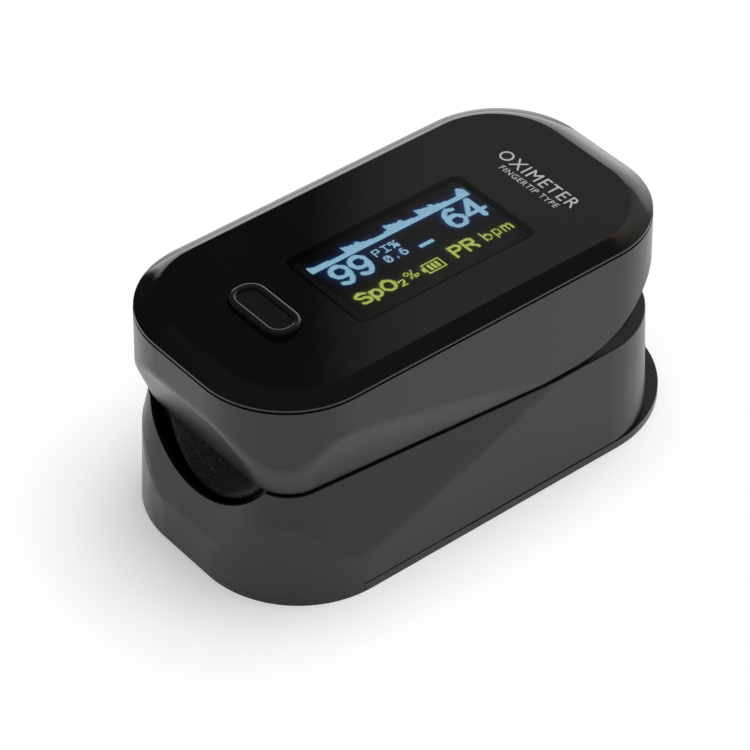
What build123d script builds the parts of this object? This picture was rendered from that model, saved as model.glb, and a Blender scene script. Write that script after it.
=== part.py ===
from build123d import *

import math
import os

# Fingertip pulse oximeter, in millimetres. +X runs from the finger entrance to the hinge end,
# +Z is up, and the origin is on the floor under the middle of the case.

# ---- driving dimensions -------------------------------------------------------------------
FRONT_X = -30.3              # foremost point of the lower shell
TOP_FRONT_X = -30.1          # front end of the top cover
BASE_REAR_X = 26.8           # back wall of the lower shell
LIP_REAR_X = 30.3            # back end of the battery cover's lip
BASE_HALF_Y = 16.15          # lower shell at the floor
TOP_REAR_X = 27.1            # back end of the top cover
TOP_HALF_Y = 14.95           # top cover
TOP_HEIGHT = 27.5            # flat top of the cover
TOP_DRAFT = 1.3              # degrees of draft on the upper shell
BASE_DRAFT = 2.6             # degrees of draft on the lower shell
WALL = 1.4                   # shell walls
SEAM_GAP = 0.15              # gap between the two shells
GROOVE = 0.25                # shadow groove under the top cover
TOP_CREASE_R = 3.0           # rounding where the leaning front meets the upright walls
BASE_CREASE_R = 2.5
RIM_R = 0.16                 # rounding of the two edges that meet at the seam

SEAM_FRONT_Z = 14.3          # lower edge of the upper shell at the front
SEAM_PIVOT_Z = 14.2          # the same edge just ahead of the hinge
SHELL_RIM_Z = 26.1           # top rim of the upper shell
COVER_EDGE_Z = 26.6          # where the cover's vertical edge turns into its bevel

PIVOT_X = 12.0
PIVOT_Z = 15.2
PIN_R = 1.0
PIN_FIT = 0.05               # running clearance of the pin in the upper lugs
LUG_R = 2.1
DECK_Z = 12.8                # deck behind the finger channel

CELL_R = 5.25                # AAA cell
CELL_LENGTH = 44.5
CELL_Y = 5.35
CELL_Z = 6.7
BAY_FRONT_X = -24.5
BAY_REAR_X = 24.6
BAY_HALF_Y = 11.3
PLATE_R = 2.65               # contact plates at the ends of the bay

MOUTH_Z = 8.8                # lowest point of the finger mouth
MOUTH_R = 11.8
PAD_R = 10.4                 # finger channel in the lower pad
PAD_THICK = 0.9
PAD_FRONT_X = -27.7          # lowest point of the pad's front edge
PAD_FRONT_Z = 8.5
PAD_SETBACK = 1.25           # from the shell's outer face to the pad's front edge
PAD_FLOOR_Z = 13.4           # level stretch of the lower pad
RAMP_END_X = -23.0           # where the ramp from the mouth meets the level stretch
ARCH_R = 12.0                # channel in the upper pad
ARCH_TOP_Z = 18.9
STOP_X = 5.0                 # finger stop
JAW_TOP_Z = 20.8

SENSOR_X = -12.0             # emitter and detector face each other here

BUTTON_X = -19.07
BUTTON_SIZE = (4.3, 9.1)
BUTTON_R = 2.0
BUTTON_PROUD = 0.75
BUTTON_RIM = 0.75            # width of the raised rim round the recessed plate
BUTTON_DISH = 0.42           # depth of that recess
BUTTON_TRAVEL = 0.35
BUTTON_ROUND = 0.33          # rounding of the rim
WINDOW_CENTRE = (-0.74, -1.19)
WINDOW_SIZE = (23.8, 13.2)
WINDOW_R = 1.2
WINDOW_THICK = 0.6
OLED_CENTRE = (0.1, -0.9)
OLED_SIZE = (24.7, 16.6)
OLED_TOP_Z = 26.3
OLED_THICK = 1.3
BOARD_Z = 22.8               # underside of the main board
BOARD_THICK = 0.8
BUZZER_X = 18.2

COVER_SPLIT_X = -19.0        # front edge of the battery cover
COVER_FLUSH_X = -8.0          # ahead of this the cover follows the flared side of the shell
COVER_THICK = 1.0
COVER_GAP = 0.15
SPLIT_GAP = 0.08             # at the cover's front edge

SCREW_X = 18.0               # case screws
SCREW_Y = 13.1
SCREW_R = 0.8                # thread of every screw
HEAD_R = 1.4
BOARD_SCREWS = [(x, y) for x in (-15.0, 6.4) for y in (-10.6, 10.6)]

FAR = 60.0                   # past every face, for cutting tools


# ---- shared shapes ------------------------------------------------------------------------
def plan(x_front, x_rear, half_front, half_rear, r_front, r_rear=None):
    """Plan outline with straight sides and ends and rounded corners."""
    face = Polygon(
        (x_front, -half_front), (x_rear, -half_rear), (x_rear, half_rear), (x_front, half_front),
        align=None,
    )
    if r_rear:
        face = fillet(face.vertices().sort_by(Axis.X)[2:], r_rear)
    return fillet(face.vertices().sort_by(Axis.X)[:2], r_front)


def flared_plan(z, low, high, inset):
    """Plan at height z of a tapered body; low and high are (z, nose x, (x, half), (x, half), radius)."""
    share = (z - low[0]) / (high[0] - low[0])

    def between(a, b):
        return a + (b - a) * share

    def half_at(section, x):
        (x0, y0), (x1, y1) = section[2], section[3]
        return y0 + (y1 - y0) * (x - x0) / (x1 - x0)

    nose = between(low[1], high[1])
    half_nose = between(half_at(low, nose), half_at(high, nose))
    half_tail = between(half_at(low, FAR), half_at(high, FAR))
    radius = between(low[4], high[4])
    outline = plan(nose + inset, FAR, half_nose - inset, half_tail - inset, radius - inset)
    return Pos(0, 0, z) * outline


def box(x, y, z):
    """Box from three (low, high) ranges."""
    size = [high - low for low, high in (x, y, z)]
    middle = [(high + low) / 2 for low, high in (x, y, z)]
    return Pos(*middle) * Box(*size)


def sides(make):
    """The same shape on the right (y < 0) and on the left."""
    return make(-1) + make(1)


def across(face_xz, half=FAR):
    """A profile drawn in X and Z, run across the whole width."""
    return extrude(Plane.XZ * face_xz, half, both=True)


def rod_y(x, z, radius, y_low, y_high):
    return Pos(x, (y_low + y_high) / 2, z) * Rot(90, 0, 0) * Cylinder(radius, y_high - y_low)


def rod_z(x, y, radius, z_low, z_high):
    return Pos(x, y, (z_low + z_high) / 2) * Cylinder(radius, z_high - z_low)


def rod_x(y, z, radius, x_low, x_high):
    return Pos((x_low + x_high) / 2, y, z) * Rot(0, 90, 0) * Cylinder(radius, x_high - x_low)


def rounded_block(centre, size, radius, z_low, z_high):
    outline = Pos(centre[0], centre[1], z_low) * RectangleRounded(size[0], size[1], radius)
    return extrude(outline, z_high - z_low)


# ---- seam between the shells --------------------------------------------------------------
REAR_RISE = [(12.3, 14.4), (14.5, 15.0), (17.7, 16.7), (21.6, 19.2), (25.0, 20.5), (29.0, 21.1)]


def above_seam(lift=0.0):
    """Everything above the upper shell's lower edge, which climbs behind the hinge."""
    start = (PIVOT_X - 1.2, SEAM_PIVOT_Z + lift)
    front = (-FAR, seam_z(-FAR) + lift)
    rise = [start] + [(x, z + lift) for x, z in REAR_RISE]
    rear = rise[-1]
    edge = Spline(*rise, tangents=[(1, 0.1), (1, 0.1)])
    outline = Polyline(rear, (FAR, rear[1]), (FAR, FAR), (-FAR, FAR), front, start)
    return across(make_face(Curve() + [edge, outline]))


def seam_z(x):
    """Height of the upper shell's lower edge ahead of the hinge."""
    slope = (SEAM_PIVOT_Z - SEAM_FRONT_Z) / (PIVOT_X - FRONT_X)
    return SEAM_FRONT_Z + slope * (x - FRONT_X)


def below_seam(drop=SEAM_GAP):
    """Everything below the lower shell's rim, level behind the hinge."""
    points = [(-FAR, seam_z(-FAR) - drop), (PIVOT_X, SEAM_PIVOT_Z - drop), (FAR, SEAM_PIVOT_Z - drop)]
    return across(Polygon(*points, (FAR, -FAR), (-FAR, -FAR), align=None))


# ---- shell forms --------------------------------------------------------------------------
# (height, nose x, (x, half width), (x, half width), corner radius)
BASE_LOW = (5.5, -30.0, (-24.0, 15.4), (10.0, 17.7), 9.3)
BASE_HIGH = (14.2, -27.3, (-24.0, 12.8), (10.0, 15.7), 4.6)
TOP_LOW = (14.3, -27.15, (-24.0, 12.6), (10.0, 15.6), 4.5)
TOP_HIGH = (26.3, -31.8, (-22.0, 16.3), (5.0, 17.9), 9.0)


def base_form(inset=0.0, z_low=0.0):
    """Outer form of the lower half: an upright body cut by a front that leans inwards."""
    upright = plan(FRONT_X + inset, BASE_REAR_X - inset, BASE_HALF_Y - inset,
                   BASE_HALF_Y - inset, 12.2 - inset, 11.0 - inset)
    body = extrude(upright, 20, taper=BASE_DRAFT) & box((-FAR, FAR), (-FAR, FAR), (z_low, FAR))
    front = loft([flared_plan(z, BASE_LOW, BASE_HIGH, inset) for z in (-2, 16)], ruled=True)
    return body & front


def top_form(inset=0.0):
    """Outer form of the upper half, drafted, with the same leaning front."""
    outline = plan(TOP_FRONT_X + inset, TOP_REAR_X - inset, TOP_HALF_Y - inset,
                   TOP_HALF_Y - inset, 10.7 - inset, 10.7 - inset)
    body = extrude(Pos(0, 0, SHELL_RIM_Z + 2) * outline, -16, taper=-TOP_DRAFT)
    front = loft([flared_plan(z, TOP_LOW, TOP_HIGH, inset) for z in (13.5, 28)], ruled=True)
    return body & front


def softened(form, radius):
    """The form with the creases between its upright walls and its leaning front rounded off."""
    low = form.bounding_box().min.Z
    high = form.bounding_box().max.Z

    def is_crease(edge):
        span = edge.bounding_box()
        inside = span.min.Z > low + 0.05 and span.max.Z < high - 0.05
        return inside or (edge.length > 20 and span.size.Z > 2)

    return fillet([edge for edge in form.edges() if is_crease(edge)], radius)


def rounded_rim(solid, facing):
    """Rounds the outer edge of the faces that look up (facing 1) or down (facing -1) at the seam."""
    edges = []
    for face in solid.faces():
        if face.normal_at().Z * facing > 0.7 and face.center().Z > 10:
            if face.center().Z < SHELL_RIM_Z - 2:
                # An edge that crosses the whole case only parts two faces of the same rim.
                edges += [edge for edge in face.outer_wire().edges() if edge.bounding_box().size.Y < 20]
    return fillet(edges, RIM_R)


def channel(radius):
    """Finger channel in the lower half: a ramp from the mouth, then a level stretch."""
    level = rod_x(0, PAD_FLOOR_Z + PAD_R, radius, RAMP_END_X, FAR)
    run = RAMP_END_X - PAD_FRONT_X
    drop = PAD_FLOOR_Z + PAD_R - PAD_FRONT_Z
    # The ramp's lowest line leaves the ball at the knee and passes through the pad's front edge.
    angle = math.degrees(math.acos(PAD_R / math.hypot(run, drop)) - math.atan2(run, drop))
    knee = Pos(RAMP_END_X, 0, PAD_FLOOR_Z + PAD_R)
    ramp = knee * Rot(0, 90 - angle, 0) * Cylinder(radius, 60, align=(Align.CENTER, Align.CENTER, Align.MAX))
    return level + ramp + knee * Sphere(radius)


def arch(radius, x_low, x_high):
    """Channel in the upper jaw."""
    return rod_x(0, ARCH_TOP_Z - ARCH_R, radius, x_low, x_high)


# ---- lower half ---------------------------------------------------------------------------
def lower_shell():
    shell = rounded_rim(softened(base_form(), BASE_CREASE_R) & below_seam(), 1) - base_form(WALL, WALL)
    # The floor is thick beside the battery bay and steps up over the battery cover.
    rim = base_form(0.6) & box((COVER_SPLIT_X, FAR), (-FAR, FAR), (0.5, 2.75))
    shell += rim - box((-25, 25.2), (-BAY_HALF_Y, BAY_HALF_Y), (0, 5))
    shell -= box((COVER_SPLIT_X - SPLIT_GAP, FAR), (-FAR, FAR), (-1, COVER_THICK + COVER_GAP))
    shell -= box((COVER_SPLIT_X - SPLIT_GAP, FAR), (-BAY_HALF_Y, BAY_HALF_Y), (-1, 2.25))
    shell -= sides(lambda s: box((COVER_SPLIT_X, FAR), sorted((s * 11, s * 11.75)), (1.6, 2.3)))
    shell += box((BAY_FRONT_X - 0.9, BAY_FRONT_X), (-11.5, 11.5), (0.5, 8.8))
    shell += box((BAY_REAR_X, BASE_REAR_X - 0.5), (-5.5, 5.5), (2.5, 9.0))
    shell += sides(lambda s: box((BAY_FRONT_X, 24.0), sorted((s * BAY_HALF_Y, s * 12.0)), (2.3, 8.0)))
    shell += sides(lambda s: rod_z(SCREW_X, s * SCREW_Y, 1.7, 2.6, 11.9))
    shell -= sides(lambda s: rod_z(SCREW_X, s * SCREW_Y, SCREW_R + 0.05, 0, 13))
    shell -= sides(lambda s: rod_z(SCREW_X, s * SCREW_Y, HEAD_R + 0.05, 0, 2.2))
    # Inside, the wall thins in two steps towards the edge of the mouth.
    for reach, skin in ((1.8, 0.9), (0.9, 0.45)):
        shell -= rod_x(0, MOUTH_Z + MOUTH_R, MOUTH_R + reach, -FAR, -24) & base_form(skin, WALL)
    shell -= rod_x(0, MOUTH_Z + MOUTH_R, MOUTH_R, -FAR, -22)
    return shell


def lower_cradle():
    """Inner deck over the batteries, with the finger trough and the hinge posts."""
    deck = base_form(WALL + 0.12) & box((-FAR, FAR), (-FAR, FAR), (12.1, 20)) & below_seam(SEAM_GAP + 0.35)
    deck -= box((STOP_X + 3.2, FAR), (-FAR, FAR), (DECK_Z, FAR))
    scoop = channel(PAD_R + 1.8) & base_form(WALL + 0.12) & box((-27, RAMP_END_X + 1), (-10, 10), (5, 13))
    keel = box((RAMP_END_X, STOP_X + 3.2), (-2.6, 2.6), (11.35, 13))
    cradle = deck + scoop + keel - channel(PAD_R + PAD_THICK) - bay_clearance()
    cradle += box((STOP_X + 1.4, STOP_X + 3.2), (-9, 9), (12.1, 14.4)) + box(
        (STOP_X + 1.4, STOP_X + 3.2), (-4.6, 4.6), (12, 17.0))
    for side in (-1, 1):
        y_low, y_high = sorted((side * 11.4, side * 13.2))
        cradle += box((PIVOT_X - 1.5, PIVOT_X + 1.5), (y_low, y_high), (12.3, PIVOT_Z))
        cradle += rod_y(PIVOT_X, PIVOT_Z, LUG_R, y_low, y_high)
        cradle -= rod_z(SCREW_X, side * SCREW_Y, SCREW_R, 11, 12.6)
    cradle -= rod_y(PIVOT_X, PIVOT_Z, PIN_R, -14, 14)
    cradle -= box((SENSOR_X - 2.5, SENSOR_X + 2.5), (-1.6, 1.6), (10, 14))
    cradle -= box((9.6, 10.6), (-2, 2), (11, 13.2))
    # The gap between the shell's mouth and the pad stays open.
    return cradle - box((-FAR, PAD_FRONT_X + 1.5), (-11.8, 11.8), (0, FAR))


def bay_clearance():
    """Room for the cells under the deck."""
    return sides(lambda s: rod_x(s * CELL_Y, CELL_Z, CELL_R + 0.12, BAY_FRONT_X, BAY_REAR_X))


def lower_finger_pad():
    """Silicone pad in the trough, with an upturned finger stop."""
    reach = base_form(PAD_SETBACK) & below_seam(SEAM_GAP + 0.1)
    reach &= box((-FAR, STOP_X + 1.3), (-FAR, FAR), (0, FAR))
    pad = (channel(PAD_R + PAD_THICK - 0.03) - channel(PAD_R)) & reach
    stop = box((STOP_X, STOP_X + 1.3), (-4.6, 4.6), (13.0, 17.2)) & channel(PAD_R + PAD_THICK - 0.1)
    pad += stop
    return pad - box((SENSOR_X - 2.5, SENSOR_X + 2.5), (-1.6, 1.6), (10, 14))


def detector_window():
    lens = box((SENSOR_X - 2.45, SENSOR_X + 2.45), (-1.55, 1.55), (11.45, 14))
    return lens - channel(PAD_R + 0.05)


def detector_board():
    return box((SENSOR_X - 4, SENSOR_X + 4), (-1.5, 1.5), (10.4, 10.8))


def photodiode():
    return box((SENSOR_X - 1.6, SENSOR_X + 1.6), (-1.1, 1.1), (10.8, 11.45))


def aaa_cell(side):
    """One AAA cell; the left one points back and the right one points forward."""
    y = side * CELL_Y
    can_length = CELL_LENGTH - 1.0
    low = BAY_REAR_X - 0.7 - CELL_LENGTH if side > 0 else BAY_FRONT_X + 0.7 + 1.0
    can = rod_x(y, CELL_Z, CELL_R, low, low + can_length)
    can = fillet(can.edges().filter_by(GeomType.CIRCLE), 0.6)
    tip = low + can_length if side > 0 else low - 1.0
    return can + rod_x(y, CELL_Z, 1.9, tip - 0.1 if side > 0 else tip, tip + 1.0 if side > 0 else tip + 1.1)


def battery_springs():
    """Coil springs at the flat end of each cell."""
    def spring(side):
        start = BAY_FRONT_X + 0.35 if side > 0 else BAY_REAR_X - 0.35
        rise = 2.9
        path = Helix(pitch=0.95, height=rise, radius=2.4)
        wire = Plane(origin=path @ 0, z_dir=path % 0) * Circle(0.25)
        coil = sweep(wire, path, is_frenet=True)
        return Pos(start + side * 0.25, side * CELL_Y, CELL_Z) * Rot(0, side * 90, 0) * coil
    return Compound(children=[spring(1), spring(-1)])


def contact_plates(x_low, x_high, bump):
    """Two nickel plates against an end wall of the bay; bump is where the nub bears."""
    plates = sides(lambda s: rod_x(s * CELL_Y, CELL_Z, PLATE_R, x_low, x_high))
    plates += box((x_low, x_high), (-2.4, 2.4), (CELL_Z - 1.2, CELL_Z + 1.2))
    return plates + rod_x(bump[1], CELL_Z, 1.2, bump[0], bump[0] + 0.42)


def front_contacts():
    return contact_plates(BAY_FRONT_X, BAY_FRONT_X + 0.3, (BAY_FRONT_X + 0.28, -CELL_Y))


def rear_contacts():
    return contact_plates(BAY_REAR_X - 0.3, BAY_REAR_X, (BAY_REAR_X - 0.7, CELL_Y))


def battery_cover():
    """Cover plate with side tongues that runs out to the rear; its lip is the thumb catch."""
    outline = plan(FRONT_X, LIP_REAR_X, BASE_HALF_Y, BASE_HALF_Y, 13.5, 13.8)
    plate = extrude(outline, COVER_THICK) & box((COVER_FLUSH_X, FAR), (-FAR, FAR), (-1, 5))
    plate += base_form() & box((COVER_SPLIT_X, COVER_FLUSH_X), (-FAR, FAR), (-1, COVER_THICK))
    rail_front = COVER_SPLIT_X + 0.6
    for side in (-1, 1):
        plate += box((rail_front, 21.5), sorted((side * 10.3, side * 11.1)), (0.5, 2.2))
        plate += box((rail_front, 21.5), sorted((side * 10.5, side * 11.6)), (1.7, 2.2))
    plate += box((25.35, 26.5), (-11.1, 11.1), (0.5, 2.1)) & base_form(0.1)
    for step in range(5):
        x = 20.6 + 0.9 * step
        plate -= box((x, x + 0.4), (-5 + 0.5 * step, 5 - 0.5 * step), (-1, 0.3))
    return plate


def hinge_pin():
    return rod_y(PIVOT_X, PIVOT_Z, PIN_R, -13.2, 13.2)


def torsion_spring(side):
    """Closing spring round the pin; its arms push the two rear halves apart."""
    coil_r = 1.6
    wire_r = 0.25
    turns = 5
    height = 0.6 * turns
    path = Helix(pitch=0.6, height=height, radius=coil_r)
    coil = sweep(Plane(origin=path @ 0, z_dir=path % 0) * Circle(wire_r), path, is_frenet=True)
    place = Pos(PIVOT_X, side * 7.0 + height / 2, PIVOT_Z) * Rot(90, 0, 0)
    return place * coil


def case_screws():
    """Two screws from the battery side, through the shell's posts into the deck."""
    def screw(side):
        y = side * SCREW_Y
        body = rod_z(SCREW_X, y, HEAD_R, 1.25, 2.2) + rod_z(SCREW_X, y, SCREW_R, 2.1, 12.6)
        return body - box((SCREW_X - 0.9, SCREW_X + 0.9), (y - 0.15, y + 0.15), (1, 1.7)) - box(
            (SCREW_X - 0.15, SCREW_X + 0.15), (y - 0.9, y + 0.9), (1, 1.7))
    return Compound(children=[screw(1), screw(-1)])


def flex_cable():
    """Ribbon from the detector board, up past the hinge to the main board."""
    points = [(SENSOR_X + 4.1, 10.6), (10.1, 10.6), (10.1, 22.72), (7.0, 22.72)]
    path = FilletPolyline(*points, radius=0.8)
    ribbon = offset(path, 0.08, side=Side.BOTH)
    return across(make_face(ribbon), 1.4)


# ---- upper half ---------------------------------------------------------------------------
def upper_shell():
    outer = softened(top_form(), TOP_CREASE_R) & above_seam()
    outer = rounded_rim(outer & box((-FAR, FAR), (-FAR, FAR), (0, SHELL_RIM_Z)), -1)
    open_front = box((-FAR, 9.0), (-FAR, FAR), (0, FAR))
    shell = outer - (top_form(WALL) & (open_front + above_seam(1.2)))
    for side in (-1, 1):
        shell += rod_y(PIVOT_X, PIVOT_Z, LUG_R, *sorted((side * 9.1, side * 11.1)))
    for y_low, y_high in ((-8.9, 8.9), (11.1, 13.4), (-13.4, -11.1)):
        shell -= box((PIVOT_X - 2.4, PIVOT_X + 2.5), (y_low, y_high), (10, 18))
    shell -= rod_y(PIVOT_X, PIVOT_Z, PIN_R + PIN_FIT, -13, 13)
    return shell


def upper_jaw():
    """Inner frame under the boards, arched over the finger."""
    jaw = top_form(WALL + 0.12) & above_seam(0.35) & box((-FAR, 8.2), (-FAR, FAR), (0, JAW_TOP_Z))
    jaw -= arch(ARCH_R + PAD_THICK, -FAR, FAR)
    jaw -= box((STOP_X - 1.0, 9), (-5.4, 5.4), (10, 19.6))
    jaw -= box((SENSOR_X - 2.5, SENSOR_X + 2.5), (-2.5, 2.5), (15, FAR))
    for x, y in BOARD_SCREWS:
        jaw += rod_z(x, y, 1.8, JAW_TOP_Z - 0.5, BOARD_Z)
        jaw -= rod_z(x, y, SCREW_R, JAW_TOP_Z - 1.5, FAR)
    return jaw


def upper_finger_pad():
    pad = arch(ARCH_R + PAD_THICK - 0.03, -26.2, STOP_X - 1.2) - arch(ARCH_R, -FAR, FAR)
    pad &= top_form(WALL + 0.3) & above_seam(0.2)
    return pad - box((SENSOR_X - 2.5, SENSOR_X + 2.5), (-2.5, 2.5), (15, FAR))


def emitter_window():
    lens = box((SENSOR_X - 2.45, SENSOR_X + 2.45), (-2.45, 2.45), (15, JAW_TOP_Z - 0.9))
    return lens & box((-FAR, FAR), (-FAR, FAR), (18, FAR)) - arch(ARCH_R + 0.05, -FAR, FAR)


def emitter_leds():
    return box((SENSOR_X - 1.5, SENSOR_X + 1.5), (-1.2, 1.2), (JAW_TOP_Z - 0.9, JAW_TOP_Z))


def emitter_board():
    return rounded_block((SENSOR_X, 0), (11, 8), 0.6, JAW_TOP_Z, JAW_TOP_Z + 0.6)


def main_board():
    outline = plan(-25.0, 22.5, 11.9, 11.9, 7.5, 8.0)
    board = extrude(Pos(0, 0, BOARD_Z) * outline, BOARD_THICK)
    for x, y in BOARD_SCREWS:
        board -= rod_z(x, y, SCREW_R + 0.05, 20, 26)
    return board


def board_screws():
    def screw(x, y):
        head_z = BOARD_Z + BOARD_THICK
        body = rod_z(x, y, HEAD_R, head_z, head_z + 0.8)
        body += rod_z(x, y, SCREW_R, JAW_TOP_Z - 1.4, head_z + 0.1)
        return body - box((x - 0.9, x + 0.9), (y - 0.15, y + 0.15), (head_z + 0.4, 26)) - box(
            (x - 0.15, x + 0.15), (y - 0.9, y + 0.9), (head_z + 0.4, 26))
    return Compound(children=[screw(x, y) for x, y in BOARD_SCREWS])


def mcu_chip():
    return box((-3.5, 3.5), (1.0, 8.0), (BOARD_Z - 0.95, BOARD_Z))


def board_parts():
    """Small parts under the board: crystal, converter and a row of capacitors."""
    under = BOARD_Z
    parts = [box((-8.6, -5.4), (4.0, 5.2), (under - 0.8, under))]
    parts += [box((-3.0, 0.0), (-6.0, -3.0), (under - 1.0, under))]
    parts += [box((x, x + 1.0), (-9.0, -8.5), (under - 0.5, under)) for x in (-8.0, -5.0, -2.0, 1.0)]
    return Compound(children=parts)


def buzzer():
    top = BOARD_Z + BOARD_THICK
    can = rod_z(BUZZER_X, 0, 4.2, top, top + 2.3)
    return can - rod_z(BUZZER_X, 0, 0.7, top + 1.8, top + 3)


def tact_switch():
    top = BOARD_Z + BOARD_THICK
    body = box((BUTTON_X - 2.6, BUTTON_X + 2.6), (-2.6, 2.6), (top, top + 1.1))
    return body - rod_z(BUTTON_X, 0, 1.25, top + 0.1, top + 2)


def switch_plunger():
    top = BOARD_Z + BOARD_THICK
    return rod_z(BUTTON_X, 0, 1.2, top + 0.1 + BUTTON_TRAVEL + 0.05, 25.2)


def power_button():
    """Cap with a raised round rim and a flange that stops under the cover."""
    top = TOP_HEIGHT + BUTTON_PROUD
    plate = [s - 2 * BUTTON_RIM for s in BUTTON_SIZE]
    cap = rounded_block((BUTTON_X, 0), BUTTON_SIZE, BUTTON_R, 25.2, top)
    cap -= rounded_block((BUTTON_X, 0), plate, BUTTON_R - BUTTON_RIM, top - BUTTON_DISH, top + 1)
    cap = fillet(cap.edges().group_by(Axis.Z)[-1], BUTTON_ROUND)
    flange = rounded_block((BUTTON_X, 0), [s + 1.6 for s in BUTTON_SIZE], BUTTON_R + 0.8, 25.2, 25.9)
    return cap + flange


def display_window():
    fit = 0.02
    size = [s - 2 * fit for s in WINDOW_SIZE]
    return rounded_block(WINDOW_CENTRE, size, WINDOW_R - fit, TOP_HEIGHT - WINDOW_THICK, TOP_HEIGHT)


def oled_panel():
    return rounded_block(OLED_CENTRE, OLED_SIZE, 0.3, OLED_TOP_Z - OLED_THICK, OLED_TOP_Z)


def display_gasket():
    inner = [s - 2.4 for s in OLED_SIZE]
    ring = rounded_block(OLED_CENTRE, OLED_SIZE, 0.3, OLED_TOP_Z, OLED_TOP_Z + 0.25)
    return ring - rounded_block(OLED_CENTRE, inner, 0.3, 20, FAR)


def display_spacer():
    inner = [s - 4 for s in OLED_SIZE]
    low = BOARD_Z + BOARD_THICK
    ring = rounded_block(OLED_CENTRE, OLED_SIZE, 0.3, low, OLED_TOP_Z - OLED_THICK)
    ring -= rounded_block(OLED_CENTRE, inner, 0.3, 20, FAR)
    return ring


def display_flex():
    """Ribbon that folds from the edge of the panel down to the board."""
    edge = OLED_CENTRE[0] + OLED_SIZE[0] / 2
    low = BOARD_Z + BOARD_THICK
    points = [(edge + 0.1, OLED_TOP_Z - 0.9), (edge + 1.2, OLED_TOP_Z - 0.9), (edge + 1.2, low + 0.1),
              (edge + 0.1, low + 0.1)]
    path = FilletPolyline(*points, radius=0.5)
    return Pos(0, OLED_CENTRE[1], 0) * across(make_face(offset(path, 0.08, side=Side.BOTH)), 5.0)


def top_cover():
    """Gloss cover with a wide rounded bevel, the display window and the button slot."""
    steps = 5
    end_inset = 2.6
    side_inset = 1.85
    sweep_angle = math.radians(70)
    sections = []
    for step in range(steps):
        share = step / (steps - 1)
        rise = math.sin(share * sweep_angle) / math.sin(sweep_angle)
        z = COVER_EDGE_Z + (TOP_HEIGHT - COVER_EDGE_Z) * rise
        radius = 10.7 - 2.0 * share
        half = TOP_HALF_Y - side_inset * share
        front = TOP_FRONT_X + end_inset * share
        rear = TOP_REAR_X - end_inset * share
        outline = plan(front, rear, half, half, radius, radius)
        sections.append(Pos(0, 0, z) * outline)
    cover = loft(sections)

    def slab(inset, z_low, z_high):
        half = TOP_HALF_Y - inset
        outline = plan(TOP_FRONT_X + inset, TOP_REAR_X - inset, half, half, 10.7 - inset, 10.7 - inset)
        return extrude(Pos(0, 0, z_low) * outline, z_high - z_low)

    cover += slab(0, SHELL_RIM_Z + GROOVE, COVER_EDGE_Z)
    cover += slab(0.5, SHELL_RIM_Z, COVER_EDGE_Z)
    cover += slab(WALL + 0.1, 25.0, COVER_EDGE_Z) - slab(WALL + 1.0, 20, SHELL_RIM_Z)
    pocket = [s + 0.6 for s in OLED_SIZE]
    cover -= rounded_block(OLED_CENTRE, pocket, 0.5, 20, OLED_TOP_Z + 0.25)
    cover -= rounded_block(WINDOW_CENTRE, WINDOW_SIZE, WINDOW_R, TOP_HEIGHT - WINDOW_THICK, FAR)
    cover -= rounded_block(WINDOW_CENTRE, [s - 1.2 for s in WINDOW_SIZE], 0.6, 20, FAR)
    cover -= rounded_block((BUTTON_X, 0), [s + 0.3 for s in BUTTON_SIZE], BUTTON_R + 0.15, 20, FAR)
    return cover


# ---- write one file per piece -------------------------------------------------------------
PIECES = {
    "lower_shell": lower_shell,
    "lower_cradle": lower_cradle,
    "lower_finger_pad": lower_finger_pad,
    "detector_window": detector_window,
    "detector_board": detector_board,
    "photodiode": photodiode,
    "aaa_cell_left": lambda: aaa_cell(1),
    "aaa_cell_right": lambda: aaa_cell(-1),
    "battery_springs": battery_springs,
    "front_contacts": front_contacts,
    "rear_contacts": rear_contacts,
    "battery_cover": battery_cover,
    "hinge_pin": hinge_pin,
    "torsion_spring_left": lambda: torsion_spring(1),
    "torsion_spring_right": lambda: torsion_spring(-1),
    "case_screws": case_screws,
    "flex_cable": flex_cable,
    "upper_shell": upper_shell,
    "upper_jaw": upper_jaw,
    "upper_finger_pad": upper_finger_pad,
    "emitter_window": emitter_window,
    "emitter_leds": emitter_leds,
    "emitter_board": emitter_board,
    "main_board": main_board,
    "board_screws": board_screws,
    "mcu_chip": mcu_chip,
    "board_parts": board_parts,
    "buzzer": buzzer,
    "tact_switch": tact_switch,
    "switch_plunger": switch_plunger,
    "power_button": power_button,
    "display_window": display_window,
    "oled_panel": oled_panel,
    "display_gasket": display_gasket,
    "display_spacer": display_spacer,
    "display_flex": display_flex,
    "top_cover": top_cover,
}

os.makedirs("parts", exist_ok=True)
for name, make in PIECES.items():
    piece = make()
    piece.label = name
    export_step(piece, f"parts/{name}.step")
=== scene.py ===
import math

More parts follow.
